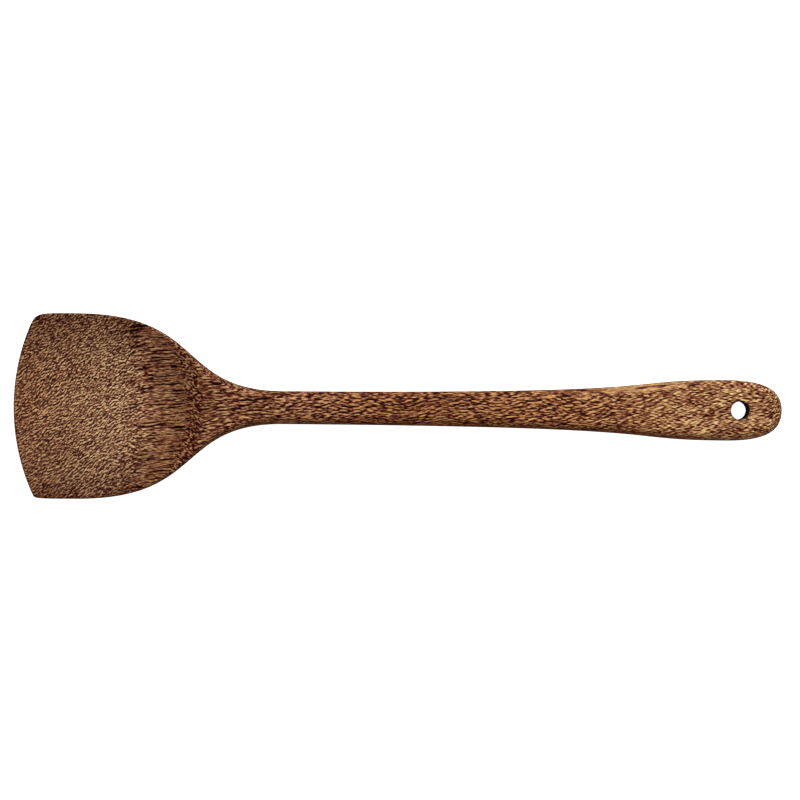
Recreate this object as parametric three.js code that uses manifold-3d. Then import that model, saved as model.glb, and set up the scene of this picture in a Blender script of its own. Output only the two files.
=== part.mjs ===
// A wok spatula carved from one plank of hardwood, lying face up.
// Millimetres, +Z up. X runs from the blade's tip edge to the end of the grip, and Y across the blade.
// The origin is on the table, under the middle of the length.
import * as THREE from "three";
import { mergeVertices } from "three/addons/utils/BufferGeometryUtils.js";
import Module from "manifold-3d";

// Lengths along the spatula, measured from the tip edge unless the name says otherwise
const overallLength = 360;
const widestFromTip = 30;
const shoulderFromTip = 88;
const neckFromTip = 126;
const gripWidestFromEnd = 26;

// Plan outline
const bladeWidth = 87;
const neckWidth = 15.6;
const gripWidth = 28.5;
const gripAside = 0.35;
const tipArcRadius = 95;
const upperCornerReach = 6.4;
const lowerCornerReach = 2;
const bladeSideRun = 60;
const neckSideRun = 50;
const handleTaperRun = 196;
const gripSwellRun = 55.5;
const gripEndSquareness = 2.5;
const tipBowFade = 60;

// Heights and thicknesses
const neckThickness = 12;
const gripThickness = 13;
const heelFaceHeight = 5;
const tipFaceHeight = 9;
const rimRise = 3.5;
const heelThickness = 5;
const tipThickness = 2.4;
const rimThinning = 0.7;

// The scoop's rise to the handle
const scoopRun = 28;
const scoopSteepness = 2.4;
const scoopBow = 0.0105;
const scoopBrowRound = 2;
const backBlendStart = 66;
const backBlendEnd = 112;

// Sanded edges
const tipEdgeRound = 1.3;
const bladeEdgeRound = 1.5;
const handleEdgeRound = 4.8;
const gripEndRound = 9;
const leastFlat = 0.2;

// Hanging hole
const holeDiameter = 8.5;
const holeFromEnd = 20.4;
const holeRimBevel = 0.5;
const cutterMargin = 1;

// How finely the surface is faceted
const cornerSteps = 9;
const bladeSideSteps = 34;
const handleSteps = 22;
const gripEndSteps = 11;
const flankSteps = 4;
const faceSteps = 12;
const holeSides = 32;

const bladeHalf = bladeWidth / 2;
const neckHalf = neckWidth / 2;
const gripHalf = gripWidth / 2;
const gripWidestFromTip = overallLength - gripWidestFromEnd;

const clamp01 = (value) => THREE.MathUtils.clamp(value, 0, 1);
const lerp = THREE.MathUtils.lerp;
const smoothstep = THREE.MathUtils.smoothstep;
const point = (x, y) => new THREE.Vector2(x, y);

// How far the tip edge lies behind its foremost point, at a distance y from the centre line.
const tipSetback = (y) => tipArcRadius - Math.sqrt(tipArcRadius ** 2 - y ** 2);

// Quarter-round of an edge: 0 on the edge, 1 where the round has run out.
const quarterRound = (distance, radius) => Math.sqrt(1 - (1 - clamp01(distance / radius)) ** 2);

// One side of the outline, from the tip edge to the end of the grip, as half widths along the length.
// The middle of the grip lies a little aside, towards this side of the outline or away from it.
function sideOutline(cornerReach, aside) {
  const sharpCorner = point(tipSetback(bladeHalf), bladeHalf);
  const cornerHalf = bladeHalf - cornerReach;
  const cornerStart = point(tipSetback(cornerHalf), cornerHalf);
  const widest = point(widestFromTip, bladeHalf);
  const neck = point(neckFromTip, neckHalf);
  const gripWidest = point(gripWidestFromTip, gripHalf + aside);
  const corner = new THREE.CubicBezierCurve(cornerStart, sharpCorner, sharpCorner, widest);
  const bladeSide = new THREE.CubicBezierCurve(
    widest,
    point(widestFromTip + bladeSideRun, bladeHalf),
    point(neckFromTip - neckSideRun, neckHalf),
    neck,
  );
  const handleSide = new THREE.CubicBezierCurve(
    neck,
    point(neckFromTip + handleTaperRun, neckHalf),
    point(gripWidestFromTip - gripSwellRun, gripHalf + aside),
    gripWidest,
  );
  const outline = [...corner.getPoints(cornerSteps), ...bladeSide.getPoints(bladeSideSteps).slice(1)];
  outline.push(...handleSide.getPoints(handleSteps).slice(1));
  for (let step = 1; step <= gripEndSteps; step++) {
    const along = Math.sin((step / gripEndSteps) * (Math.PI / 2));
    const half = gripHalf * (1 - along ** gripEndSquareness) ** (1 / gripEndSquareness);
    outline.push(point(gripWidestFromTip + gripWidestFromEnd * along, half + aside));
  }
  return outline;
}

// The blade's dished face, before it rises to the handle.
function faceHeight(x, y) {
  const towardsTip = clamp01((backBlendStart - x) / backBlendStart);
  return lerp(heelFaceHeight, tipFaceHeight, towardsTip ** 2) + rimRise * (y / bladeHalf) ** 2;
}

function bladeThickness(x, y) {
  const towardsTip = clamp01((backBlendStart - x) / backBlendStart);
  const thickest = lerp(heelThickness, tipThickness, towardsTip);
  return thickest - rimThinning * (y / bladeHalf) ** 2;
}

const handleTop = (x) => lerp(neckThickness, gripThickness, smoothstep(x, neckFromTip, gripWidestFromTip));

// The upper surface: the face, the scooped ramp up to the brow, and the handle's flat top behind it.
function topHeight(x, y) {
  const brow = shoulderFromTip - scoopBow * y ** 2;
  const intoScoop = brow - x;
  const softened = (intoScoop + Math.hypot(intoScoop, scoopBrowRound)) / 2;
  const ramp = (1 - clamp01(softened / scoopRun)) ** scoopSteepness;
  return lerp(faceHeight(x, y), handleTop(x), ramp);
}

// The lower surface: the blade's rounded back, running out into the handle's flat underside.
function backHeight(x, y) {
  const back = faceHeight(x, y) - bladeThickness(x, y);
  return lerp(back, 0, smoothstep(x, backBlendStart, backBlendEnd));
}

// The upper and lower surfaces at one point of the plan, with every edge rounded over.
function surfacesAt(x, y, fromSide, sideRound) {
  const top = topHeight(x, y);
  const back = backHeight(x, y);
  const middle = (top + back) / 2;
  const rounding =
    quarterRound(fromSide, sideRound) *
    quarterRound(x - tipSetback(y), tipEdgeRound) *
    quarterRound(overallLength - x, gripEndRound);
  return { middle, half: ((top - back) / 2) * rounding };
}

// Places across one section, from the lower edge to the upper one, close together round the two flanks.
function acrossSection(low, high, sideRound) {
  const places = [];
  for (let step = 0; step <= flankSteps; step++) {
    const inset = sideRound * (1 - Math.cos((step / flankSteps) * (Math.PI / 2)));
    places.push(low + inset);
  }
  for (let step = 1; step < faceSteps; step++) {
    places.push(lerp(low + sideRound, high - sideRound, step / faceSteps));
  }
  for (let step = flankSteps; step >= 0; step--) {
    const inset = sideRound * (1 - Math.cos((step / flankSteps) * (Math.PI / 2)));
    places.push(high - inset);
  }
  return places;
}

// One closed ring of points round the spatula, through an upper and a lower point of the outline.
function sectionRing(upper, lower) {
  const behindTip = (upper.x + lower.x) / 2 - tipSetback(bladeHalf);
  const bow = (1 - clamp01(behindTip / tipBowFade)) ** 2;
  const edgeRound = lerp(bladeEdgeRound, handleEdgeRound, smoothstep(upper.x, backBlendStart, neckFromTip));
  const halfWidth = (upper.y + lower.y) / 2;
  const sideRound = Math.min(edgeRound, halfWidth - leastFlat / 2);
  const over = [];
  const under = [];
  for (const y of acrossSection(-lower.y, upper.y, sideRound)) {
    const share = clamp01((y + lower.y) / (upper.y + lower.y));
    const straight = lerp(lower.x, upper.x, share);
    const setback = lerp(tipSetback(lower.y), tipSetback(upper.y), share) - tipSetback(y);
    const x = straight - setback * bow;
    const fromSide = Math.min(upper.y - y, y + lower.y);
    const { middle, half } = surfacesAt(x, y, fromSide, sideRound);
    over.push(new THREE.Vector3(x, y, middle + half));
    under.push(new THREE.Vector3(x, y, middle - half));
  }
  return [...over, ...under.reverse().slice(1, -1)];
}

// A closed skin over the section rings. The first ring is the tip edge itself, and the last is drawn to a point.
function carvedBlank() {
  const upper = sideOutline(upperCornerReach, gripAside);
  const lower = sideOutline(lowerCornerReach, -gripAside);
  const rings = upper.slice(0, -1).map((edge, index) => sectionRing(edge, lower[index]));
  const ringSize = rings[0].length;
  const vertices = [...rings.flat(), new THREE.Vector3(overallLength, gripAside, gripThickness / 2)];
  const endPoint = vertices.length - 1;
  const triangles = [];
  for (let ring = 0; ring < rings.length; ring++) {
    for (let place = 0; place < ringSize; place++) {
      const here = ring * ringSize + place;
      const beside = ring * ringSize + ((place + 1) % ringSize);
      if (ring === rings.length - 1) {
        triangles.push(here, endPoint, beside);
      } else {
        triangles.push(here, here + ringSize, beside, beside, here + ringSize, beside + ringSize);
      }
    }
  }
  return new THREE.BufferGeometry().setFromPoints(vertices).setIndex(triangles);
}

// A drill for the hanging hole, flared at both ends so that it leaves a small bevel on each rim.
function holeDrill() {
  const radius = holeDiameter / 2;
  const flare = radius + holeRimBevel + cutterMargin;
  const holeFromTip = overallLength - holeFromEnd;
  const top = handleTop(holeFromTip);
  const profile = [
    point(0, -cutterMargin),
    point(flare, -cutterMargin),
    point(radius, holeRimBevel),
    point(radius, top - holeRimBevel),
    point(flare, top + cutterMargin),
    point(0, top + cutterMargin),
  ];
  return new THREE.LatheGeometry(profile, holeSides).rotateX(Math.PI / 2).translate(holeFromTip, gripAside, 0);
}

const wasm = await Module();
wasm.setup();

// A geometry as a closed solid, with shared vertices merged and the triangles that close up to a line left out.
function solidFrom(geometry) {
  geometry.deleteAttribute("normal");
  geometry.deleteAttribute("uv");
  const merged = mergeVertices(geometry);
  const corners = merged.index.array;
  const triangles = [];
  for (let first = 0; first < corners.length; first += 3) {
    const [a, b, c] = corners.slice(first, first + 3);
    if (a !== b && b !== c && c !== a) {
      triangles.push(a, b, c);
    }
  }
  const mesh = new wasm.Mesh({
    numProp: 3,
    vertProperties: merged.attributes.position.array,
    triVerts: new Uint32Array(triangles),
  });
  return new wasm.Manifold(mesh);
}

function geometryFrom(solid) {
  const mesh = solid.getMesh();
  const geometry = new THREE.BufferGeometry();
  geometry.setAttribute("position", new THREE.BufferAttribute(mesh.vertProperties, 3));
  geometry.setIndex(new THREE.BufferAttribute(mesh.triVerts, 1));
  geometry.computeVertexNormals();
  return geometry;
}

const oiledHardwood = new THREE.MeshStandardMaterial({ color: "#7a5036", roughness: 0.5, metalness: 0 });

const drilled = solidFrom(carvedBlank()).subtract(solidFrom(holeDrill()));
const body = new THREE.Mesh(geometryFrom(drilled), oiledHardwood);
body.name = "spatula_body";
body.position.x = -overallLength / 2;

const spatula = new THREE.Group();
spatula.add(body);

export default spatula;
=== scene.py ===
"""A wok spatula carved from one plank of hardwood: its body, its oiled wood and a plain studio."""
from functools import partial
from math import cos, pi, radians, sin, sqrt, tan
from types import SimpleNamespace

import bpy
from bpy.props import FloatProperty, FloatVectorProperty, IntProperty, PointerProperty
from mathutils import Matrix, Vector


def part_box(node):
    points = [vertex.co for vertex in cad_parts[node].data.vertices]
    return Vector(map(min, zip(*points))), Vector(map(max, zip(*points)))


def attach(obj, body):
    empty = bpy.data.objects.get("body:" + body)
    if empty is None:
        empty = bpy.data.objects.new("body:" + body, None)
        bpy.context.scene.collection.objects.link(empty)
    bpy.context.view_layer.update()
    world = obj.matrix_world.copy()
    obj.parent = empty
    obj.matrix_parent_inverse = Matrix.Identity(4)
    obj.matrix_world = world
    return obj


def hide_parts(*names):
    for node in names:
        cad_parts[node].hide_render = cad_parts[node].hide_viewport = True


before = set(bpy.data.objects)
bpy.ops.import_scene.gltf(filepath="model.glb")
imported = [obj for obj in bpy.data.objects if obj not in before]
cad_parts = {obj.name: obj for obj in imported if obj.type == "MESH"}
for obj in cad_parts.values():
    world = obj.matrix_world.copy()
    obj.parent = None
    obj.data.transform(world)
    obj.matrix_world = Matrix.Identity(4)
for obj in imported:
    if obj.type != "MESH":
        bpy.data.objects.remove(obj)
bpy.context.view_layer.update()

bl_info = {
    "name": "Carved wok spatula",
    "version": (1, 0, 0),
    "blender": (4, 5, 0),
    "location": "3D View > Sidebar > Spatula",
    "description": "Carves a one-piece wooden spatula and sets it in a plain studio",
    "category": "Object",
}

MM = 0.001
NODE = "spatula_body"
NODE_LOW, NODE_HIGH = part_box(NODE)
PLANK_SIZE = NODE_HIGH - NODE_LOW
FLANK = "flank"

# Kinds of node and settings that come up often
MATH = "ShaderNodeMath"
VECTOR_MATH = "ShaderNodeVectorMath"
RANGE = "ShaderNodeMapRange"
MIX = "ShaderNodeMix"
NOISE = "ShaderNodeTexNoise"
SPLIT = "ShaderNodeSeparateXYZ"
JOIN = "ShaderNodeCombineXYZ"
NUMBERS = {"data_type": "FLOAT"}
EASED = {"interpolation_type": "SMOOTHSTEP"}

# The mesh: how its points are spread over the body, and how the drill widens
OUTLINE_STEPS = 64
EVEN_SECTIONS = 0.15
FLANK_SHARE = 0.36
WIDEST_ROUND = 0.95
WELD = 0.001 * MM
DRILL_RINGS = 48
DRILL_LENGTH = 1.2
DRILL_FLARE = 0.93
DRILL_WIDENING = 2.0
CARVED_PLAN = (
    "length", "blade_width", "grip_aside", "tip_arc_radius", "neck_from_tip", "grip_widest_from_end"
)

# Where the grain changes from the blade to the handle, and from the handle to the grip
RAMP_BEND = 0.35
BLADE_SOFTNESS = 8 * MM
BLADE_CHANGE = 10 * MM
GRIP_SOFTNESS = 20 * MM
GRIP_CHANGE = 40 * MM

# How the grain wanders, and how far it follows the ramp up
WANDER_LENGTH = 40 * MM
WANDER = (0.0, 6 * MM, 2 * MM)
FOLLOWED_HEIGHT = 3.6 * MM
FOLLOWED_CURVE = 2.2
FOLLOWED_BELOW_BROW = 6 * MM
BLADE_SLANT = 0.55

# The two sets of bands, with their slopes on the blade, the handle and the grip
BANDS_IN_CELL = 1.3
BAND_LEAN = radians(62)
BAND_SWAY = 0.12
BAND_SLOPES = (0.7, 0.26, 0.34), (0.2, -0.12, -0.34)
BAND_WEIGHTS = 0.66, 0.54
BAND_OFFSETS = 0.0, 50.0
CELL_WIDTH = BANDS_IN_CELL * sin(BAND_LEAN)
CELL_DEPTH = BANDS_IN_CELL * cos(BAND_LEAN)

# How much the layers of the figure count
FIBRE_WEIGHT = 1.2
PATCH_WEIGHT = 0.12
GRIP_PATCHES = 0.14
BLADE_CONTRAST = 0.9
GRIP_CONTRAST = 0.64
GRIP_LIFT = 0.018

# Thin dark lines of the side grain; four numbers are a range, as from low, from high, to low, to high
LINE_CELL = (14 * MM, 1.7 * MM, 1.7 * MM)
LINE_SLOPE = -0.12
LINE_LEAN = 2.0
LINE_WARP = 2.5
LINE_FIBRE = 0.6
LINE_EDGES = 0.09, 0.25
LINE_GROUND = 0.556
LINE_FAINTNESS = 0.38, 0.58, 0.02, 0.52
LINE_DEPTH = 80 * MM, 95 * MM, 0.1, 1.0
RAMP_RAGGED = 45 * MM
RAMP_LINES = -6 * MM, 8 * MM, 0.0, 0.9
RAMP_END = 7 * MM
NECK_MIDDLE = 104 * MM
NECK_LINES = 10 * MM, 34 * MM, 0.4, 0.0

# The flanks, which show the same lines on a paler ground, paler still on the upper flank as painted light
UPPER_SIDE = -1 * MM, 1 * MM, 0.0, 1.0
LOWER_FLANK_LESS = 0.3
FLANK_WIDTH = 0.05, 0.55, 0.0, 1.0
FLANK_START = 225 * MM, 295 * MM, 0.1, 1.0
FLANK_END = 300 * MM, 330 * MM, 1.0, 0.1
FLANK_LINES = 0.7
FLANK_LIFT = 0.11
FLANK_DARKEST = 0.44

# Strokes on the brow
STROKE_CELL = (1.2 * MM, 0.75 * MM, 2 * MM)
STROKE_SLOPE = 0.35
STROKE_SHADES = 0.3, 0.7, 0.33, 0.7
BROW_RAGGED = 6 * MM
BROW_SETBACK = 0.5 * MM
BROW_STROKES = 2 * MM, 5 * MM, 0.7, 0.0

# Colour and finish: stops of the figure's shades, places of the tones, painted shade and painted sheen, and
# what the oil does
SHADE_STOPS = 0.38, 0.45, 0.52, 0.59, 0.67
TONE_PLACES = 0, 54 * MM, 84 * MM, 105 * MM, 180 * MM, 258 * MM, 328 * MM, 355 * MM
# Painted shade: the blade darkens to its rims, and the lower flank darkens warmer
RIM_FADE = 68 * MM, 84 * MM, 1.0, 0.0
RIM_PAINTED_SHADE = (-0.6, -0.7, -0.72)
LOWER_FLANK_SHADE_TINT = (0.1, -0.2, -0.36)
# The hole's wall is darkened for raw end grain and for painted shade inside the hole
HOLE_GRAIN_AND_SHADE = 0.12
# Painted sheen: a pale veil over the blade and the upper flank
BLADE_SHEEN_VEIL = 0.03
FLANK_SHEEN_VEIL = 0.05
OILED_TO_DRY = 0.45, 0.6
OIL_SHINE = 0.03
RELIEF = 0.05 * MM
RELIEF_STRENGTH = 0.3

# Soft lamps: place and width in metres, power in watts
LAMPS = {
    "key": ((0.3, 0.55, 0.95), 0.6, 12.5),
    "side": ((0.0, 1.0, 0.22), 0.5, 4.5),
}
SENSOR_WIDTH = 36


def size(name, description, millimetres):
    """A length that a user may change, written in millimetres and kept in metres."""
    return FloatProperty(
        name=name, description=description, default=millimetres * MM, unit="LENGTH", precision=4
    )


def linear(sample):
    """An sRGB hex colour as linear red, green and blue."""
    channels = [int(sample[start:start + 2], 16) / 255 for start in (1, 3, 5)]
    return [c / 12.92 if c <= 0.04045 else ((c + 0.055) / 1.055) ** 2.4 for c in channels]


def colour(name, description, sample):
    """A colour that a user may change, written as sRGB hex."""
    return FloatVectorProperty(
        name=name, description=description, default=linear(sample), subtype="COLOR", min=0.0, max=1.0
    )


def add(tree, kind, settings=None, *inputs, **named):
    """Add a node, set it up and feed it: inputs in the order of its live sockets, or by socket name."""
    node = tree.nodes.new(kind)
    if isinstance(settings, str):
        settings = {"operation": settings}
    for name, value in (settings or {}).items():
        setattr(node, name, value)
    live = [socket for socket in node.inputs if socket.enabled]
    by_name = {socket.name.lower().replace(" ", "_"): socket for socket in reversed(live)}
    pairs = list(zip(live, inputs)) + [(by_name[name], source) for name, source in named.items()]
    for socket, source in pairs:
        if isinstance(source, bpy.types.Node):
            source = next(output for output in source.outputs if output.enabled)
        if isinstance(source, bpy.types.NodeSocket):
            tree.links.new(source, socket)
        else:
            socket.default_value = source
    return node


class SpatulaPlan(bpy.types.PropertyGroup):
    """The outline, seen from above."""

    length: size("Length", "From the tip edge to the end of the grip", PLANK_SIZE.x / MM)
    blade_width: size("Blade width", "Across the blade at its widest", PLANK_SIZE.y / MM)
    neck_width: size("Neck width", "Across the neck at its slimmest", 15.6)
    grip_width: size("Grip width", "Across the grip at its widest", 28.5)
    grip_aside: size("Grip aside", "How far the middle of the grip lies to the upper side", 0.35)
    tip_arc_radius: size("Tip arc radius", "Radius of the curved tip edge", 95)
    upper_corner_reach: size("Upper corner reach", "How far in the rounder tip corner starts", 6.4)
    lower_corner_reach: size("Lower corner reach", "How far in the sharper tip corner starts", 2)
    widest_from_tip: size("Widest from tip", "Where the blade is widest", 30)
    neck_from_tip: size("Neck from tip", "Where the blade's sides have run into the neck", 126)
    grip_widest_from_end: size("Grip widest from end", "Where the grip is widest", 26)
    blade_side_run: size("Blade side run", "How long the blade's side holds its direction", 60)
    neck_side_run: size("Neck side run", "How long the neck's side holds its direction", 50)
    handle_taper_run: size("Handle taper run", "How long the handle stays slim", 196)
    grip_swell_run: size("Grip swell run", "How long the grip's swelling takes", 55.5)
    grip_end_fullness: FloatProperty(
        name="Grip end fullness", description="0.55 is an ellipse and 1 a square end",
        default=0.69, subtype="FACTOR",
    )


class SpatulaForm(bpy.types.PropertyGroup):
    """Heights, thicknesses and sanded edges."""

    neck_thickness: size("Neck thickness", "Height of the neck's flat top", 12)
    grip_thickness: size("Grip thickness", "Height of the grip's flat top", PLANK_SIZE.z / MM)
    heel_face_height: size("Heel face height", "Height of the blade's face at its lowest", 5)
    tip_face_height: size("Tip face height", "Height of the blade's face at the tip edge", 9)
    rim_rise: size("Rim rise", "How far the dished face rises to its sides", 3.5)
    heel_thickness: size("Heel thickness", "Thickness of the blade at its heel", 5)
    tip_thickness: size("Tip thickness", "Thickness of the blade at the tip edge", 2.4)
    rim_thinning: size("Rim thinning", "How much thinner the blade is at its sides", 0.7)
    shoulder_from_tip: size("Shoulder from tip", "Where the scoop's brow crosses the middle", 88)
    scoop_run: size("Scoop run", "Length of the ramp from the face to the brow", 28)
    scoop_steepness: FloatProperty(
        name="Scoop steepness", description="How much steeper the ramp is at the brow", default=2.4
    )
    scoop_bow: FloatProperty(
        name="Scoop bow", description="How far the brow bends back to the sides, per metre", default=10.5
    )
    scoop_brow_round: size("Scoop brow round", "Rounding of the brow", 2)
    back_blend_start: size("Back blend start", "Where the blade's back starts to flatten", 66)
    back_blend_end: size("Back blend end", "Where the underside is flat", 112)
    tip_bow_fade: size("Tip bow fade", "How far behind the tip the sections still bend with it", 60)
    tip_edge_round: size("Tip edge round", "Rounding of the tip edge", 1.3)
    blade_edge_round: size("Blade edge round", "Rounding of the blade's sides", 1.5)
    handle_edge_round: size("Handle edge round", "Rounding of the handle's sides", 4.8)
    grip_end_round: size("Grip end round", "Rounding of the end of the grip", 9)
    hole_diameter: size("Hole diameter", "Width of the hanging hole", 8.5)
    hole_from_end: size("Hole from end", "Middle of the hanging hole from the end of the grip", 20.4)
    hole_rim_round: size("Hole rim round", "Rounding of the hole's rims", 0.7)
    rings: IntProperty(name="Rings", description="Sections along the body", default=420, min=20)
    places: IntProperty(name="Places", description="Points across each section", default=57, min=9)
    hole_sides: IntProperty(name="Hole sides", description="Facets round the hole", default=72, min=12)


class SpatulaWood(bpy.types.PropertyGroup):
    """Colours and grain of the wood."""

    pore_colour: colour("Pores", "Oil-filled pores, the darkest lines", "#1c0100")
    dark_band: colour("Dark band", "Dense fibre between the pale bands", "#58120a")
    brown_band: colour("Brown band", "Middle tone of the wood", "#8d573e")
    tan_band: colour("Tan band", "Lighter fibre beside the pale bands", "#c09365")
    pale_band: colour("Pale band", "Soft pale bands of the wood", "#f9d097")
    # Painted sheen: the colour of the pale veil laid over the blade and the upper flank
    sheen_veil_colour: colour("Sheen veil", "Pale veil of the washed blade", "#907e6d")
    tip_tone: colour("Tip tone", "Tone of the wood at the tip edge", "#c6b4a9")
    # The dish's pale tone is partly painted sheen
    dish_tone: colour("Dish tone", "Tone of the wood in the dish, washed pale", "#eef4fe")
    # The brow's darker tone is partly end grain and partly painted shade of the steep wall
    brow_tone: colour("Brow tone", "Tone of the wood at the brow, where the cut is steep", "#bbafa8")
    neck_tone: colour("Neck tone", "Tone of the wood at the neck", "#cdc3c4")
    handle_tone: colour("Handle tone", "Tone of the wood along the handle", "#bda495")
    swell_tone: colour("Swell tone", "Tone of the wood where the grip starts to swell", "#d0bdad")
    # The grip's pale tone is partly painted light
    grip_tone: colour("Grip tone", "Tone of the wood at the grip, worn pale", "#e8ece4")
    end_tone: colour("End tone", "Tone of the wood at the end of the grip", "#e8ece6")
    blade_fibre: size("Blade fibre", "How far a band runs on where the blade cuts across it", 1.5)
    handle_fibre: size("Handle fibre", "How far a band runs on along the handle", 4.2)
    grip_fibre: size("Grip fibre", "How far a band runs on where the grip swells", 3.8)
    blade_fleck: size("Blade fleck", "Length of the fine fibres on the blade", 1.1)
    handle_fleck: size("Handle fleck", "Length of the fine fibres on the handle", 2.6)
    grip_fleck: size("Grip fleck", "Length of the fine fibres on the grip", 2.4)
    grip_start: size("Grip start", "Where along the handle the grain starts to shorten", 255)
    band_spacing: size("Band spacing", "From one dark band to the next across the grain", 1.5)
    grip_spacing: size("Grip spacing", "From one dark band to the next across the grip", 1.2)
    band_depth: size("Band depth", "From one dark band to the next through the plank", 1.7)
    line_spacing: size("Line spacing", "From one thin dark line to the next on the ramp", 1.6)
    # Real fibres are finer than 0.1 mm, too fine to show, so they are drawn half a millimetre wide
    fibre_width: size("Fibre width", "Width of the fine fibres that break up the bands", 0.5)
    ramp_streaks: size("Ramp streaks", "Length of the straight streaks below the brow", 28)


class SpatulaStudio(bpy.types.PropertyGroup):
    """Floor, sky and camera."""

    floor_colour: colour("Floor", "Pale floor", "#f4f3f1")
    floor_reach: size("Floor reach", "From the middle of the floor to its sides", 4000)
    floor_gap: size("Floor gap", "Floor below the spatula's underside", 0.2)
    sky_strength: FloatProperty(
        name="Sky strength", description="Even light from all round", default=0.3, min=0.0
    )
    camera_height: size("Camera height", "Camera above the floor", 1097)
    camera_along: size("Camera along", "Camera from the middle towards the grip", 0.94)
    camera_across: size("Camera across", "Camera from the middle towards the upper side", 3.98)
    camera_turn: FloatProperty(
        name="Camera turn", description="Turn of the picture", default=radians(0.45), subtype="ANGLE"
    )
    view_width: size("View width", "Width of the picture at the spatula", 374.9)
    view_level: size("View level", "Height at which the picture has that width", 7)


def tip_setback(plan, across):
    """How far the tip edge lies behind its foremost point."""
    return plan.tip_arc_radius - sqrt(plan.tip_arc_radius ** 2 - across ** 2)


def side_outline(name, plan, corner_reach, side):
    """One side of the plan as a Bezier curve, from the tip edge to the end of the grip."""
    blade_half = plan.blade_width / 2
    corner_half = blade_half - corner_reach
    neck_half = plan.neck_width / 2
    aside = plan.grip_aside * side
    grip_half = plan.grip_width / 2 + aside
    end_half = plan.grip_width / 2 * plan.grip_end_fullness + aside
    grip_widest = plan.length - plan.grip_widest_from_end
    corner = (tip_setback(plan, blade_half), blade_half)
    knots = [
        (corner, (tip_setback(plan, corner_half), corner_half), corner),
        (
            corner,
            (plan.widest_from_tip, blade_half),
            (plan.widest_from_tip + plan.blade_side_run, blade_half),
        ),
        (
            (plan.neck_from_tip - plan.neck_side_run, neck_half),
            (plan.neck_from_tip, neck_half),
            (plan.neck_from_tip + plan.handle_taper_run, neck_half),
        ),
        (
            (grip_widest - plan.grip_swell_run, grip_half),
            (grip_widest, grip_half),
            (grip_widest + plan.grip_widest_from_end * plan.grip_end_fullness, grip_half),
        ),
        ((plan.length, end_half), (plan.length, aside), (plan.length, -grip_half)),
    ]
    curve = bpy.data.curves.new(name, "CURVE")
    curve.dimensions = "3D"
    curve.resolution_u = OUTLINE_STEPS
    spline = curve.splines.new("BEZIER")
    spline.bezier_points.add(len(knots) - 1)
    for knot, (before, here, after) in zip(spline.bezier_points, knots):
        knot.handle_left_type = knot.handle_right_type = "FREE"
        knot.handle_left = (before[0], before[1] * side, 0)
        knot.co = (here[0], here[1] * side, 0)
        knot.handle_right = (after[0], after[1] * side, 0)
    outline = bpy.data.objects.new(name, curve)
    bpy.context.scene.collection.objects.link(outline)
    return outline


def flared_drill(node, given):
    """A drill that widens at both ends, which leaves the hole's rims rounded."""
    half_grip = node(MATH, "MULTIPLY", given["Grip thickness"], 0.5)
    length = node(MATH, "MULTIPLY", given["Grip thickness"], DRILL_LENGTH)
    rod = node(
        "GeometryNodeMeshCylinder", {"fill_type": "NGON"},
        given["Hole sides"], DRILL_RINGS, 1, 1.0, length,
    )
    rod_x, rod_y, rod_z = node(SPLIT, {}, node("GeometryNodeInputPosition")).outputs
    from_rim = node(MATH, "SUBTRACT", half_grip, node(MATH, "ABSOLUTE", rod_z))
    flare = node(RANGE, {}, from_rim, 0.0, given["Hole rim round"], DRILL_FLARE, 0.0)
    quarter = node(MATH, "SQRT", node(MATH, "SUBTRACT", 1.0, node(MATH, "POWER", flare, 2.0)))
    flare = node(MATH, "SUBTRACT", 1.0, quarter)
    past_rim = node(MATH, "MAXIMUM", node(MATH, "MULTIPLY", from_rim, -1.0), 0.0)
    radius = node(MATH, "MULTIPLY", given["Hole diameter"], 0.5)
    radius = node(MATH, "MULTIPLY_ADD", given["Hole rim round"], flare, radius)
    radius = node(MATH, "MULTIPLY_ADD", past_rim, DRILL_WIDENING, radius)
    half_length = node(MATH, "MULTIPLY", given["Length"], 0.5)
    hole_x = node(MATH, "SUBTRACT", half_length, given["Hole from end"])
    spot = node(
        JOIN, {},
        node(MATH, "MULTIPLY_ADD", rod_x, radius, hole_x),
        node(MATH, "MULTIPLY_ADD", rod_y, radius, given["Grip aside"]),
        node(MATH, "ADD", rod_z, half_grip),
    )
    return node("GeometryNodeSetPosition", {}, geometry=rod.outputs["Mesh"], position=spot)


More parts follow.
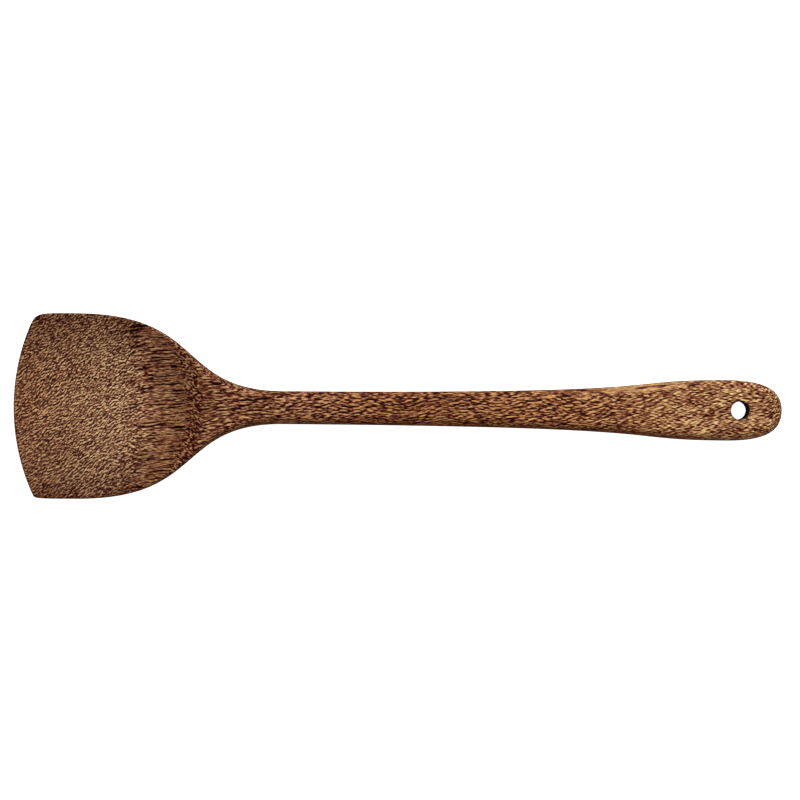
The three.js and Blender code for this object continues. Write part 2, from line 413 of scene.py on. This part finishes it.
def carving_tree(sockets):
    """The body as a rule: a grid of sections across the plan, lifted to the top and to the back."""
    tree = bpy.data.node_groups.new("Carved spatula", "GeometryNodeTree")
    tree.is_modifier = True
    for name, kind in sockets.items():
        tree.interface.new_socket(name, in_out="INPUT", socket_type=kind)
    tree.interface.new_socket("Geometry", in_out="OUTPUT", socket_type="NodeSocketGeometry")
    node = partial(add, tree)
    given = node("NodeGroupInput").outputs

    # A flat grid gives each point its place along the outline and across its section, both from 0 to 1
    grid = node("GeometryNodeMeshGrid", {}, 1.0, 1.0, given["Rings"], given["Places"])
    grid_x, grid_y, _ = node(SPLIT, {}, node("GeometryNodeInputPosition")).outputs
    along = node(MATH, "ADD", grid_x, 0.5)
    across = node(MATH, "ADD", grid_y, 0.5)

    # Sections lie closer together towards both ends
    swing = node(MATH, "COSINE", node(MATH, "MULTIPLY", along, pi))
    row = node(MIX, NUMBERS, EVEN_SECTIONS, node(MATH, "MULTIPLY_ADD", swing, -0.5, 0.5), along)
    edges = []
    for side in ("Lower outline", "Upper outline"):
        outline = node("GeometryNodeObjectInfo", {}, given[side]).outputs["Geometry"]
        sample = node("GeometryNodeSampleCurve", {"mode": "FACTOR"}, curves=outline, factor=row)
        edges.append(node(SPLIT, {}, sample.outputs["Position"]).outputs)
    lower, upper = edges
    width = node(MATH, "SUBTRACT", upper["Y"], lower["Y"])
    half = node(MATH, "MULTIPLY", width, 0.5)
    middle = node(MATH, "MULTIPLY", node(MATH, "ADD", upper["Y"], lower["Y"]), 0.5)
    section = node(MATH, "MULTIPLY", node(MATH, "ADD", upper["X"], lower["X"]), 0.5)

    # Across a section, the points crowd together round the two flanks
    signed = node(MATH, "MULTIPLY_ADD", across, 2.0, -1.0)
    inward = node(MATH, "SUBTRACT", 1.0, node(MATH, "ABSOLUTE", signed))
    edge_round = node(
        RANGE, EASED,
        section, given["Back blend start"], given["Neck from tip"],
        given["Blade edge round"], given["Handle edge round"],
    )
    side_round = node(MATH, "MINIMUM", edge_round, node(MATH, "MULTIPLY", half, WIDEST_ROUND))
    flank = node(MATH, "MINIMUM", node(MATH, "DIVIDE", inward, FLANK_SHARE), 1.0)
    flank_turn = node(MATH, "MULTIPLY", flank, pi / 2)
    turned_in = node(MATH, "SUBTRACT", 1.0, node(MATH, "COSINE", flank_turn))
    flank_inset = node(MATH, "MULTIPLY", side_round, turned_in)
    inner = node(RANGE, {}, inward, FLANK_SHARE, 1.0, 0.0, 1.0)
    inset = node(MATH, "MULTIPLY_ADD", node(MATH, "SUBTRACT", half, side_round), inner, flank_inset)
    reach = node(MATH, "SUBTRACT", half, inset)
    y = node(MATH, "MULTIPLY_ADD", node(MATH, "SIGN", signed), reach, middle)

    # Near the tip a section bends with the tip arc
    setbacks = []
    half_blade = node(MATH, "MULTIPLY", given["Blade width"], 0.5)
    for where in (lower["Y"], upper["Y"], y, half_blade):
        squares = node(
            MATH, "SUBTRACT",
            node(MATH, "POWER", given["Tip arc radius"], 2.0),
            node(MATH, "MULTIPLY", where, where),
        )
        setbacks.append(node(MATH, "SUBTRACT", given["Tip arc radius"], node(MATH, "SQRT", squares)))
    lower_setback, upper_setback, setback, corner_setback = setbacks
    share = node(MATH, "DIVIDE", node(MATH, "SUBTRACT", y, lower["Y"]), width)
    straight = node(MIX, NUMBERS, share, lower["X"], upper["X"])
    chord = node(MIX, NUMBERS, share, lower_setback, upper_setback)
    behind_tip = node(MATH, "SUBTRACT", section, corner_setback)
    bow = node(RANGE, {}, behind_tip, 0.0, given["Tip bow fade"], 1.0, 0.0)
    bow = node(MATH, "POWER", bow, 2.0)
    bent = node(MATH, "MULTIPLY", node(MATH, "SUBTRACT", chord, setback), bow)
    x = node(MATH, "SUBTRACT", straight, bent)

    # The blade's dished face and its thickness
    towards_tip = node(RANGE, {}, x, 0.0, given["Back blend start"], 1.0, 0.0)
    tip_curl = node(MATH, "POWER", towards_tip, 2.0)
    spread = node(MATH, "POWER", node(MATH, "ABSOLUTE", node(MATH, "DIVIDE", y, half_blade)), 2.0)
    dish = node(MIX, NUMBERS, tip_curl, given["Heel face height"], given["Tip face height"])
    face = node(MATH, "MULTIPLY_ADD", given["Rim rise"], spread, dish)
    thickest = node(MIX, NUMBERS, towards_tip, given["Heel thickness"], given["Tip thickness"])
    thickness = node(MATH, "SUBTRACT", thickest, node(MATH, "MULTIPLY", given["Rim thinning"], spread))

    # The scoop's ramp climbs from the face to the brow and the handle's flat top
    grip_widest = node(MATH, "SUBTRACT", given["Length"], given["Grip widest from end"])
    handle_top = node(
        RANGE, EASED,
        x, given["Neck from tip"], grip_widest, given["Neck thickness"], given["Grip thickness"],
    )
    bowed = node(MATH, "MULTIPLY", given["Scoop bow"], node(MATH, "MULTIPLY", y, y))
    brow = node(MATH, "SUBTRACT", given["Shoulder from tip"], bowed)
    into_scoop = node(MATH, "SUBTRACT", brow, x)
    squares = node(
        MATH, "ADD",
        node(MATH, "MULTIPLY", into_scoop, into_scoop),
        node(MATH, "POWER", given["Scoop brow round"], 2.0),
    )
    softened = node(MATH, "MULTIPLY", node(MATH, "ADD", into_scoop, node(MATH, "SQRT", squares)), 0.5)
    climb = node(RANGE, {}, softened, 0.0, given["Scoop run"], 1.0, 0.0)
    ramp = node(MATH, "POWER", climb, given["Scoop steepness"])
    top = node(MIX, NUMBERS, ramp, face, handle_top)

    # The rounded back runs out into the flat underside of the handle
    flatness = node(RANGE, EASED, x, given["Back blend start"], given["Back blend end"], 0.0, 1.0)
    back = node(MIX, NUMBERS, flatness, node(MATH, "SUBTRACT", face, thickness), 0.0)

    # Every edge is rounded over: top and back meet on the outline
    rounding = node(MATH, "SINE", flank_turn)
    from_tip = node(MATH, "SUBTRACT", x, setback)
    from_end = node(MATH, "SUBTRACT", given["Length"], x)
    for distance, radius in ((from_tip, given["Tip edge round"]), (from_end, given["Grip end round"])):
        left = node(RANGE, {}, distance, 0.0, radius, 1.0, 0.0)
        quarter = node(MATH, "SQRT", node(MATH, "SUBTRACT", 1.0, node(MATH, "POWER", left, 2.0)))
        rounding = node(MATH, "MULTIPLY", rounding, quarter)
    inside = node(MATH, "SIGN", node(MATH, "MULTIPLY", along, node(MATH, "SUBTRACT", 1.0, along)))
    rounding = node(MATH, "MULTIPLY", rounding, inside)
    heart = node(MATH, "MULTIPLY", node(MATH, "ADD", top, back), 0.5)
    half_height = node(MATH, "MULTIPLY", node(MATH, "SUBTRACT", top, back), 0.5)
    lift = node(MATH, "MULTIPLY", half_height, rounding)
    centred = node(MATH, "MULTIPLY_ADD", given["Length"], -0.5, x)

    # The material reads how far a point lies out on a flank
    grid = node(
        "GeometryNodeStoreNamedAttribute", {"data_type": "FLOAT", "domain": "POINT"},
        geometry=grid, name=FLANK, value=node(MATH, "SUBTRACT", 1.0, flank),
    )
    sheets = []
    for side in ("ADD", "SUBTRACT"):
        spot = node(JOIN, {}, centred, y, node(MATH, side, heart, lift))
        sheets.append(node("GeometryNodeSetPosition", {}, geometry=grid, position=spot))
    blank = node("GeometryNodeJoinGeometry", {}, sheets[0])
    tree.links.new(node("GeometryNodeFlipFaces", {}, sheets[1]).outputs["Mesh"], blank.inputs["Geometry"])
    blank = node("GeometryNodeMergeByDistance", {}, geometry=blank, distance=WELD)

    drilled = node(
        "GeometryNodeMeshBoolean", {"operation": "DIFFERENCE", "solver": "EXACT"},
        mesh_1=blank, mesh_2=flared_drill(node, given),
    )
    smooth = node("GeometryNodeSetShadeSmooth", {}, geometry=drilled)
    whole = node("GeometryNodeRealizeInstances", {}, smooth)
    dressed = node("GeometryNodeSetMaterial", {}, geometry=whole, material=given["Wood"])
    node("NodeGroupOutput", {}, dressed)
    return tree


def grain_places(node, plan, form, wood):
    """Where a point lies on the spatula: from the tip, from the ramp, on a flank and by the hole."""
    at = SimpleNamespace(spot=node("ShaderNodeTexCoord").outputs["Object"])
    at.x, at.y, at.z = node(SPLIT, {}, at.spot).outputs
    at.from_tip = node(MATH, "ADD", at.x, plan.length / 2)
    bent = node(MATH, "MULTIPLY", node(MATH, "MULTIPLY", at.y, at.y), form.scoop_bow)
    at.to_brow = node(MATH, "ADD", at.from_tip, bent)
    past_foot = node(MATH, "SUBTRACT", at.from_tip, form.shoulder_from_tip - wood.ramp_streaks)
    at.to_ramp = node(MATH, "MULTIPLY_ADD", bent, RAMP_BEND, past_foot)
    at.on_blade = node(MATH, "SMOOTH_MIN", at.to_ramp, 0.0, BLADE_SOFTNESS)
    past_start = node(MATH, "SUBTRACT", at.from_tip, wood.grip_start)
    at.on_grip = node(MATH, "SMOOTH_MAX", past_start, 0.0, GRIP_SOFTNESS)
    at.blade_share = node(RANGE, {}, at.on_blade, -BLADE_CHANGE, 0.0, 1.0, 0.0)
    at.grip_share = node(RANGE, {}, at.on_grip, 0.0, GRIP_CHANGE, 0.0, 1.0)
    at.flank = node("ShaderNodeAttribute", {"attribute_name": FLANK}).outputs["Fac"]
    at.upper = node(RANGE, {}, at.y, *UPPER_SIDE)
    hole = (plan.length / 2 - form.hole_from_end, plan.grip_aside, 0.0)
    off_hole = node(VECTOR_MATH, "MULTIPLY", node(VECTOR_MATH, "SUBTRACT", at.spot, hole), (1.0, 1.0, 0.0))
    off_hole = node(VECTOR_MATH, "LENGTH", off_hole).outputs["Value"]
    wall = form.hole_diameter / 2
    at.raw_wall = node(RANGE, {}, off_hole, wall, wall + form.hole_rim_round, 1.0, 0.0)
    return at


def banded_figure(node, form, wood, at):
    """The main figure, and the fine fibre in it: two crossing sets of bands that wander with the grain."""
    wander = node(NOISE, {}, vector=at.spot, scale=1 / WANDER_LENGTH, detail=1.0).outputs["Color"]
    wander = node(VECTOR_MATH, "SUBTRACT", wander, (0.5, 0.5, 0.5))
    wander = node(VECTOR_MATH, "MULTIPLY", wander, WANDER)
    _, across, height = node(SPLIT, {}, node(VECTOR_MATH, "ADD", at.spot, wander)).outputs

    # The grain follows the ramp part of the way up
    ramp_foot = form.shoulder_from_tip - form.scoop_run
    ramp_top = form.shoulder_from_tip - FOLLOWED_BELOW_BROW
    climb = node(RANGE, {}, at.to_brow, ramp_foot, ramp_top, 0.0, 1.0)
    followed = node(MATH, "MULTIPLY", node(MATH, "POWER", climb, FOLLOWED_CURVE), FOLLOWED_HEIGHT)
    down = node(MATH, "SUBTRACT", height, followed)

    # Along the wood, lengths of band and of fibre are counted from the tip
    fibres = wood.blade_fibre, wood.handle_fibre, wood.grip_fibre
    flecks = wood.blade_fleck, wood.handle_fleck, wood.grip_fleck
    runs = []
    for blade, handle, grip in (fibres, flecks):
        run = node(MATH, "DIVIDE", at.from_tip, handle)
        run = node(MATH, "MULTIPLY_ADD", at.on_blade, 1 / blade - 1 / handle, run)
        runs.append(node(MATH, "MULTIPLY_ADD", at.on_grip, 1 / grip - 1 / handle, run))
    run, fleck_run = runs
    closer = node(MATH, "MULTIPLY_ADD", at.grip_share, wood.band_spacing / wood.grip_spacing - 1, 1.0)
    level = node(MATH, "DIVIDE", across, wood.band_spacing * CELL_WIDTH)
    level = node(MATH, "MULTIPLY", level, closer)
    depth = node(MATH, "DIVIDE", down, wood.band_depth * CELL_DEPTH)
    cell = node(JOIN, {}, run, level, depth)

    # Two sets of bands cross: flat along the handle, steeper on the blade and the grip
    # The texture sways its bands to one side only, so their aim is set back by half the sway
    set_back = BAND_SWAY * pi / 2
    spacings = wood.band_spacing, wood.band_spacing, wood.grip_spacing
    figure = -0.5 * sum(BAND_WEIGHTS)
    for weight, slopes, offset in zip(BAND_WEIGHTS, BAND_SLOPES, BAND_OFFSETS):
        blade, handle, grip = (
            set_back - slope * fibre / (spacing * CELL_WIDTH)
            for slope, fibre, spacing in zip(slopes, fibres, spacings)
        )
        tilt = node(MATH, "MULTIPLY_ADD", at.blade_share, blade - handle, handle)
        tilt = node(MATH, "MULTIPLY_ADD", at.grip_share, grip - handle, tilt)
        bands = node(
            "ShaderNodeTexGabor", {"gabor_type": "3D"},
            vector=node(VECTOR_MATH, "ADD", cell, (offset, offset, offset)),
            scale=1.0, frequency=BANDS_IN_CELL, anisotropy=1 - BAND_SWAY,
            orientation=node(JOIN, {}, tilt, 1.0, 1 / tan(BAND_LEAN - set_back)),
        )
        figure = node(MATH, "MULTIPLY_ADD", bands.outputs["Value"], weight, figure)
    contrast = node(MATH, "MULTIPLY_ADD", at.blade_share, BLADE_CONTRAST - 1, 1.0)
    figure = node(MATH, "MULTIPLY_ADD", figure, contrast, -0.5 * FIBRE_WEIGHT)

    # Fine fibre, aslant on the blade, and slow patches
    slanted = node(MATH, "MULTIPLY_ADD", at.on_blade, -BLADE_SLANT, across)
    fine = node(JOIN, {}, fleck_run, slanted, down)
    fine = node(VECTOR_MATH, "MULTIPLY", fine, (1.0, 1 / wood.fibre_width, 1 / wood.fibre_width))
    fine = node(NOISE, {}, vector=fine, scale=1.0, detail=3.0, roughness=0.6).outputs["Fac"]
    figure = node(MATH, "MULTIPLY_ADD", fine, FIBRE_WEIGHT, figure)
    patches = node(NOISE, {}, vector=cell, scale=0.5, detail=0.0).outputs["Fac"]
    patches = node(MATH, "SUBTRACT", patches, 0.5)
    patch_weight = node(MATH, "MULTIPLY_ADD", at.grip_share, GRIP_PATCHES, PATCH_WEIGHT)
    figure = node(MATH, "MULTIPLY_ADD", patches, patch_weight, figure)
    contrast = node(MATH, "MULTIPLY_ADD", at.grip_share, GRIP_CONTRAST - 1, 1.0)
    ground = node(MATH, "MULTIPLY_ADD", at.grip_share, GRIP_LIFT, 0.5)
    return node(MATH, "MULTIPLY_ADD", figure, contrast, ground), fine


def side_grain(node, form, wood, at, fine):
    """Thin dark lines and where they show: on the ramp, a little on the neck, and along the flanks."""
    below = node(MATH, "SUBTRACT", at.z, form.neck_thickness)
    below = node(MATH, "MULTIPLY", below, node(RANGE, {}, at.from_tip, *LINE_DEPTH))
    sloped = node(MATH, "MULTIPLY_ADD", at.from_tip, LINE_SLOPE, at.y)
    cell = node(VECTOR_MATH, "DIVIDE", node(JOIN, {}, at.from_tip, sloped, below), LINE_CELL)
    waves = node(NOISE, {}, vector=cell, scale=1.0, detail=1.0)
    at.waves = waves.outputs["Fac"]

    # A row of even lines is warped by the waves, which also leave some lines faint
    row = node(MATH, "DIVIDE", node(MATH, "MULTIPLY_ADD", below, LINE_LEAN, sloped), wood.line_spacing)
    row = node(MATH, "MULTIPLY_ADD", at.waves, LINE_WARP, row)
    off_line = node(MATH, "PINGPONG", row, 0.5)
    faint = node("ShaderNodeSeparateColor", {}, waves.outputs["Color"]).outputs["Green"]
    faint = node(RANGE, {}, faint, *LINE_FAINTNESS)
    lines = node(RANGE, {}, off_line, *LINE_EDGES, faint, LINE_GROUND)
    lines = node(MATH, "MULTIPLY_ADD", fine, LINE_FIBRE, lines)
    lines = node(MATH, "SUBTRACT", lines, 0.5 * LINE_FIBRE)

    # Ragged starts on the ramp, and an end at the brow
    ragged = node(MATH, "MULTIPLY_ADD", at.waves, RAMP_RAGGED, at.to_ramp)
    ragged = node(MATH, "SUBTRACT", ragged, RAMP_RAGGED / 2)
    brow = form.shoulder_from_tip
    below_brow = node(RANGE, {}, at.to_brow, brow - RAMP_END, brow, 1.0, 0.0)
    on_ramp = node(MATH, "MULTIPLY", node(RANGE, {}, ragged, *RAMP_LINES), below_brow)
    off_neck = node(MATH, "ABSOLUTE", node(MATH, "SUBTRACT", at.from_tip, NECK_MIDDLE))
    on_neck = node(RANGE, {}, off_neck, *NECK_LINES)

    # On the flanks the lines lie on a paler ground, most of all on the upper side of the grip, where the
    # extra lift is painted light
    widened = node(MATH, "MULTIPLY", at.flank, node(MATH, "ADD", at.grip_share, 1.0))
    narrowed = node(MATH, "SUBTRACT", at.flank, LOWER_FLANK_LESS)
    turned = node(RANGE, {}, node(MIX, NUMBERS, at.upper, narrowed, widened), *FLANK_WIDTH)
    past_neck = node(RANGE, {}, at.from_tip, *FLANK_START)
    before_end = node(RANGE, {}, at.from_tip, *FLANK_END)
    at.on_flank = node(MATH, "MULTIPLY", turned, node(MATH, "MULTIPLY", past_neck, before_end))
    ground = node(MATH, "MULTIPLY_ADD", at.upper, FLANK_LIFT, FLANK_LIFT)
    streaks = node(MATH, "MULTIPLY_ADD", lines, FLANK_LINES, ground)
    streaks = node(MATH, "MAXIMUM", streaks, FLANK_DARKEST)
    share = node(MATH, "MAXIMUM", node(MATH, "MAXIMUM", on_ramp, on_neck), at.on_flank)
    return node(MIX, NUMBERS, at.on_flank, lines, streaks), share


def brow_strokes(node, form, at):
    """Short slanting strokes on the brow, where the cut runs straight across the fibre."""
    crossed = node(MATH, "MULTIPLY_ADD", at.from_tip, STROKE_SLOPE, at.y)
    cell = node(VECTOR_MATH, "DIVIDE", node(JOIN, {}, at.from_tip, crossed, at.z), STROKE_CELL)
    strokes = node(NOISE, {}, vector=cell, scale=1.0, detail=0.0).outputs["Fac"]
    off_brow = node(MATH, "MULTIPLY_ADD", at.waves, BROW_RAGGED, at.to_brow)
    off_brow = node(MATH, "SUBTRACT", off_brow, form.shoulder_from_tip + BROW_SETBACK)
    share = node(RANGE, {}, node(MATH, "ABSOLUTE", off_brow), *BROW_STROKES)
    return node(RANGE, {}, strokes, *STROKE_SHADES), share


def wood_colour_and_painted_light(node, plan, wood, at, figure):
    """Colour by the figure, and a slow change of tone that is partly the wood's own and partly painted light:
    paler in the dish with painted sheen, darker at the brow with painted shade of its steep wall, and paler
    towards the grip with painted light.
    """
    by_figure = node("ShaderNodeValToRGB", {}, figure)
    by_place = node("ShaderNodeValToRGB", {}, node(MATH, "DIVIDE", at.to_brow, plan.length))
    shades = wood.pore_colour, wood.dark_band, wood.brown_band, wood.tan_band, wood.pale_band
    tones = (
        wood.tip_tone, wood.dish_tone, wood.brow_tone, wood.neck_tone,
        wood.handle_tone, wood.swell_tone, wood.grip_tone, wood.end_tone,
    )
    tone_stops = [place / plan.length for place in TONE_PLACES]
    for ramp, stops, colours in ((by_figure, SHADE_STOPS, shades), (by_place, tone_stops, tones)):
        elements = ramp.color_ramp.elements
        elements.remove(elements[1])
        for index, (place, shade) in enumerate(zip(stops, colours)):
            stop = elements.new(place) if index else elements[0]
            stop.position = place
            stop.color = (*shade, 1)
    tinted = node(VECTOR_MATH, "MULTIPLY", by_figure.outputs["Color"], by_place.outputs["Color"])

    # A thin pale veil of painted sheen on the blade and on the upper flank
    painted_sheen = node(MATH, "MULTIPLY", node(MATH, "MULTIPLY", at.on_flank, at.upper), FLANK_SHEEN_VEIL)
    painted_sheen = node(MATH, "MAXIMUM", painted_sheen, node(MATH, "MULTIPLY", at.blade_share, BLADE_SHEEN_VEIL))
    tinted = node(MIX, {"data_type": "RGBA"}, painted_sheen, tinted, (*wood.sheen_veil_colour, 1))

    # Painted shade: darker to the blade's rims and darker and warmer on the lower flank; the hole's wall is
    # dark from raw end grain and painted shade
    rim = node(MATH, "POWER", node(MATH, "DIVIDE", at.y, plan.blade_width / 2), 2.0)
    rim = node(MATH, "MULTIPLY", rim, node(RANGE, {}, at.to_brow, *RIM_FADE))
    # Painted shade on the lower flank, which faces away from the lamps: darker and warmer
    lower_flank_shade = node(MATH, "MULTIPLY", at.flank, node(MATH, "SUBTRACT", 1.0, at.upper))
    for share, change in ((rim, RIM_PAINTED_SHADE), (lower_flank_shade, LOWER_FLANK_SHADE_TINT)):
        tone = node(VECTOR_MATH, "MULTIPLY_ADD", share, change, (1.0, 1.0, 1.0))
        tinted = node(VECTOR_MATH, "MULTIPLY", tinted, tone)
    # Raw end grain and painted shade darken the hole's wall
    hole_grain_and_shade = node(MATH, "MULTIPLY_ADD", at.raw_wall, HOLE_GRAIN_AND_SHADE - 1, 1.0)
    return node(VECTOR_MATH, "SCALE", tinted, scale=hole_grain_and_shade)


def oiled_hardwood(wood):
    """Dark tropical hardwood, sanded and oiled.

    Dense dark fibre and soft pale bands lie in thin sheets through the plank. Where the carving cuts them
    flat they show as long streaks, and where it cuts across them, as short dashes and speckle. The oil fills
    the dark fibre to a low sheen and leaves the pale bands matt.
    """
    plan, form = wood.id_data.spatula_plan, wood.id_data.spatula_form
    material = bpy.data.materials.new("oiled hardwood")
    material.use_nodes = True
    material.node_tree.nodes.clear()
    node = partial(add, material.node_tree)
    at = grain_places(node, plan, form, wood)
    figure, fine = banded_figure(node, form, wood, at)
    lines, on_side = side_grain(node, form, wood, at, fine)
    figure = node(MIX, NUMBERS, on_side, figure, lines)
    strokes, on_brow = brow_strokes(node, form, at)
    figure = node(MIX, NUMBERS, on_brow, figure, strokes)
    tinted = wood_colour_and_painted_light(node, plan, wood, at, figure)
    sheen = node(RANGE, {}, figure, SHADE_STOPS[0], SHADE_STOPS[-1], *OILED_TO_DRY)
    sheen = node(MATH, "MAXIMUM", sheen, at.raw_wall)
    relief = node("ShaderNodeBump", {}, strength=RELIEF_STRENGTH, distance=RELIEF, height=figure)
    shader = node(
        "ShaderNodeBsdfPrincipled", {},
        base_color=tinted, roughness=sheen, specular_ior_level=OIL_SHINE, normal=relief,
    )
    node("ShaderNodeOutputMaterial", {}, surface=shader)
    return material


def white_board(studio):
    """Matt white board, lit evenly from behind so that no shadow shows on it."""
    material = bpy.data.materials.new("matt white board")
    material.use_nodes = True
    shader = material.node_tree.nodes["Principled BSDF"]
    finish = {
        "Base Color": (*studio.floor_colour, 1),
        "Roughness": 0.9,
        "Specular IOR Level": 0.2,
        "Emission Color": (1, 1, 1, 1),
        "Emission Strength": 1.0,
    }
    for socket, value in finish.items():
        shader.inputs[socket].default_value = value
    return material


class SPATULA_OT_carve_body(bpy.types.Operator):
    """Carve the spatula's body from its outline, drill it and oil it"""

    bl_idname = "spatula.carve_body"
    bl_label = "Carve body"

    def execute(self, context):
        plan = context.scene.spatula_plan
        form = context.scene.spatula_form
        outlines = {
            "Upper outline": side_outline("upper_outline", plan, plan.upper_corner_reach, 1),
            "Lower outline": side_outline("lower_outline", plan, plan.lower_corner_reach, -1),
        }
        sockets = {name: "NodeSocketObject" for name in outlines}
        sockets["Wood"] = "NodeSocketMaterial"
        values = {**outlines, "Wood": oiled_hardwood(context.scene.spatula_wood)}
        for group, keys in ((plan, CARVED_PLAN), (form, type(form).__annotations__)):
            for key in keys:
                entry = group.bl_rna.properties[key]
                sockets[entry.name] = "NodeSocketInt" if entry.type == "INT" else "NodeSocketFloat"
                values[entry.name] = getattr(group, key)
        tree = carving_tree(sockets)
        body = bpy.data.objects.new("spatula", bpy.data.meshes.new("spatula"))
        context.scene.collection.objects.link(body)
        carving = body.modifiers.new("Carving", "NODES")
        carving.node_group = tree
        for socket in tree.interface.items_tree:
            if socket.in_out == "INPUT":
                carving[socket.identifier] = values[socket.name]
        graph = context.evaluated_depsgraph_get()
        mesh = bpy.data.meshes.new_from_object(body.evaluated_get(graph))
        body.modifiers.clear()
        body.data = mesh
        for outline in outlines.values():
            bpy.data.objects.remove(outline)
        if not mesh.polygons:
            raise RuntimeError("the carving made no surface")
        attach(body, "root")
        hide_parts(NODE)
        return {"FINISHED"}


class SPATULA_OT_set_stage(bpy.types.Operator):
    """Lay the pale floor, and set up the lights and the camera"""

    bl_idname = "spatula.set_stage"
    bl_label = "Set stage"

    def execute(self, context):
        scene = context.scene
        studio = scene.spatula_studio
        scene.view_settings.view_transform = "Standard"

        # The floor shows as plain white, and throws no light back on the wood
        reach = studio.floor_reach
        corners = [(-reach, -reach, 0), (reach, -reach, 0), (reach, reach, 0), (-reach, reach, 0)]
        floor_mesh = bpy.data.meshes.new("floor")
        floor_mesh.from_pydata(corners, [], [range(len(corners))])
        floor_mesh.materials.append(white_board(studio))
        floor = bpy.data.objects.new("floor", floor_mesh)
        floor.location.z = -studio.floor_gap
        floor.visible_diffuse = False
        floor.visible_glossy = False
        scene.collection.objects.link(floor)

        scene.world = bpy.data.worlds.new("studio")
        scene.world.use_nodes = True
        sky = scene.world.node_tree.nodes["Background"]
        sky.inputs["Color"].default_value = (1, 1, 1, 1)
        sky.inputs["Strength"].default_value = studio.sky_strength
        for name, (place, width, power) in LAMPS.items():
            light = bpy.data.lights.new(name, "AREA")
            light.shape = "SQUARE"
            light.size = width
            light.energy = power
            lamp = bpy.data.objects.new(name, light)
            lamp.location = place
            lamp.rotation_euler = (-Vector(place)).to_track_quat("-Z", "Y").to_euler()
            scene.collection.objects.link(lamp)

        camera = bpy.data.cameras.new("camera")
        camera.sensor_width = SENSOR_WIDTH
        camera.lens = SENSOR_WIDTH * (studio.camera_height - studio.view_level) / studio.view_width
        viewer = bpy.data.objects.new("camera", camera)
        viewer.location = (studio.camera_along, studio.camera_across, studio.camera_height)
        viewer.rotation_euler = (0, 0, studio.camera_turn)
        scene.collection.objects.link(viewer)
        scene.camera = viewer
        return {"FINISHED"}


class SPATULA_PT_sidebar(bpy.types.Panel):
    """The spatula's pieces and sizes"""

    bl_idname = "SPATULA_PT_sidebar"
    bl_label = "Spatula"
    bl_space_type = "VIEW_3D"
    bl_region_type = "UI"
    bl_category = "Spatula"

    def draw(self, context):
        layout = self.layout
        for operator in OPERATORS:
            layout.operator(operator.bl_idname)
        for name in SETTINGS:
            group = getattr(context.scene, name)
            box = layout.box()
            for key in type(group).__annotations__:
                box.prop(group, key)


SETTINGS = {
    "spatula_plan": SpatulaPlan,
    "spatula_form": SpatulaForm,
    "spatula_wood": SpatulaWood,
    "spatula_studio": SpatulaStudio,
}
OPERATORS = (SPATULA_OT_carve_body, SPATULA_OT_set_stage)
CLASSES = (*SETTINGS.values(), *OPERATORS, SPATULA_PT_sidebar)


def register():
    for entry in CLASSES:
        bpy.utils.register_class(entry)
    for name, group in SETTINGS.items():
        setattr(bpy.types.Scene, name, PointerProperty(type=group))


def unregister():
    for name in SETTINGS:
        delattr(bpy.types.Scene, name)
    for entry in reversed(CLASSES):
        bpy.utils.unregister_class(entry)


def main():
    register()
    bpy.ops.spatula.carve_body()
    bpy.ops.spatula.set_stage()


if __name__ == "__main__":
    main()
